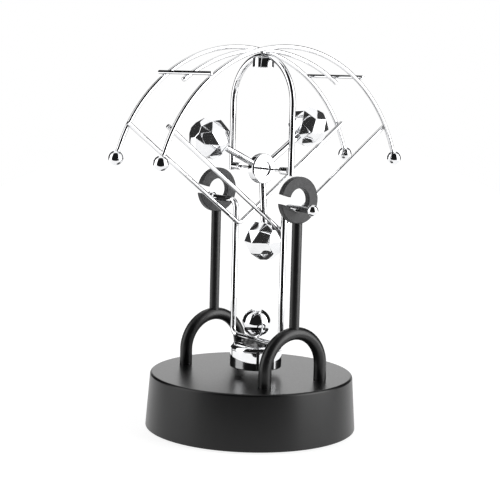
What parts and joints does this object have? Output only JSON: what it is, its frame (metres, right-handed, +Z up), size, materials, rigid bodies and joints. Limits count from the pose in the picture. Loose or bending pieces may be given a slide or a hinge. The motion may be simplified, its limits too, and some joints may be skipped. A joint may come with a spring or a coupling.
{
  "type": "perpetual motion desk toy",
  "caption": "Wire pendulum with a canopy of arcs and a free-spinning ball rotor, swinging on two open rings above a round battery base with a drive coil.",
  "frame": {"origin": "centre of the surface the toy stands on, under the middle of the round base", "axes": "+Z up, +X across the toy along the canopy's width, +Y along the pivot pins from front to rear; the front is -Y and the pivot rings open towards -X"},
  "size_m": [0.1582, 0.11, 0.1992],
  "materials": {
    "black_plastic": "satin moulded",
    "black_steel": "satin black coating",
    "grey_steel": "satin charcoal coating",
    "chrome": "mirror plating",
    "plated_plastic": "mirror plating on faceted plastic",
    "rubber": "moulded",
    "cell_wrap": "plain printed sleeve over a dry cell",
    "copper": "enamelled winding wire",
    "nylon": "natural nylon",
    "iron": "soft iron",
    "board": "coated fibreglass laminate",
    "steel": "zinc plated",
    "magnet": "sintered magnet"
  },
  "bodies": {
    "stand": {"base_housing": "black_plastic", "base_cover": "black_plastic", "rubber_foot_1": "rubber", "rubber_foot_2": "rubber", "rubber_foot_3": "rubber", "rubber_foot_4": "rubber", "cover_screw_1": "steel", "cover_screw_2": "steel", "cover_screw_3": "steel", "battery_cell_1": "cell_wrap", "battery_cell_2": "cell_wrap", "battery_cell_3": "cell_wrap", "battery_cell_4": "cell_wrap", "front_contact_strip": "steel", "rear_contact_strip": "steel", "coil_bobbin": "nylon", "coil_winding": "copper", "coil_core": "iron", "circuit_board": "board", "arch_screw_1": "steel", "arch_screw_2": "steel", "arch_screw_3": "steel", "arch_screw_4": "steel", "front_foot_arch": "black_steel", "rear_foot_arch": "black_steel", "front_post": "black_steel", "rear_post": "black_steel", "front_pivot_ring": "grey_steel", "rear_pivot_ring": "grey_steel"},
    "door": {"battery_door": "black_plastic"},
    "pendulum": {"swing_loop": "chrome", "front_pin_ball": "chrome", "rear_pin_ball": "chrome", "loop_ball": "chrome", "magnet_cup": "chrome", "drive_magnet": "magnet", "front_v_wire": "chrome", "rear_v_wire": "chrome", "front_arc": "chrome", "middle_arc": "chrome", "rear_arc": "chrome", "left_cross_bar": "chrome", "right_cross_bar": "chrome", "front_left_tip_ball": "chrome", "front_right_tip_ball": "chrome", "rear_left_tip_ball": "chrome", "rear_right_tip_ball": "chrome", "axle_arch": "chrome", "crown_weight": "chrome", "front_axle_bearing": "chrome", "rear_axle_bearing": "chrome"},
    "rotor": {"rotor_axle": "chrome", "rotor_hub": "chrome", "rotor_arm_1": "chrome", "rotor_arm_2": "chrome", "rotor_arm_3": "chrome", "rotor_ball_1": "plated_plastic", "rotor_ball_2": "plated_plastic", "rotor_ball_3": "plated_plastic"}
  },
  "joints": [
    {"name": "pendulum_swing", "type": "hinge", "parent": "stand", "child": "pendulum", "pos_m": [0, 0, 0.1183], "axis": [0, 1, 0], "range_deg": [-25, 25]},
    {"name": "rotor_spin", "type": "hinge", "parent": "pendulum", "child": "rotor", "pos_m": [0, 0, 0.1363], "axis": [0, 1, 0], "continuous": true},
    {"name": "battery_door_hinge", "type": "hinge", "parent": "stand", "child": "door", "pos_m": [0, 0.0281, 0.0008], "axis": [1, 0, 0], "range_deg": [0, 110]}
  ]
}
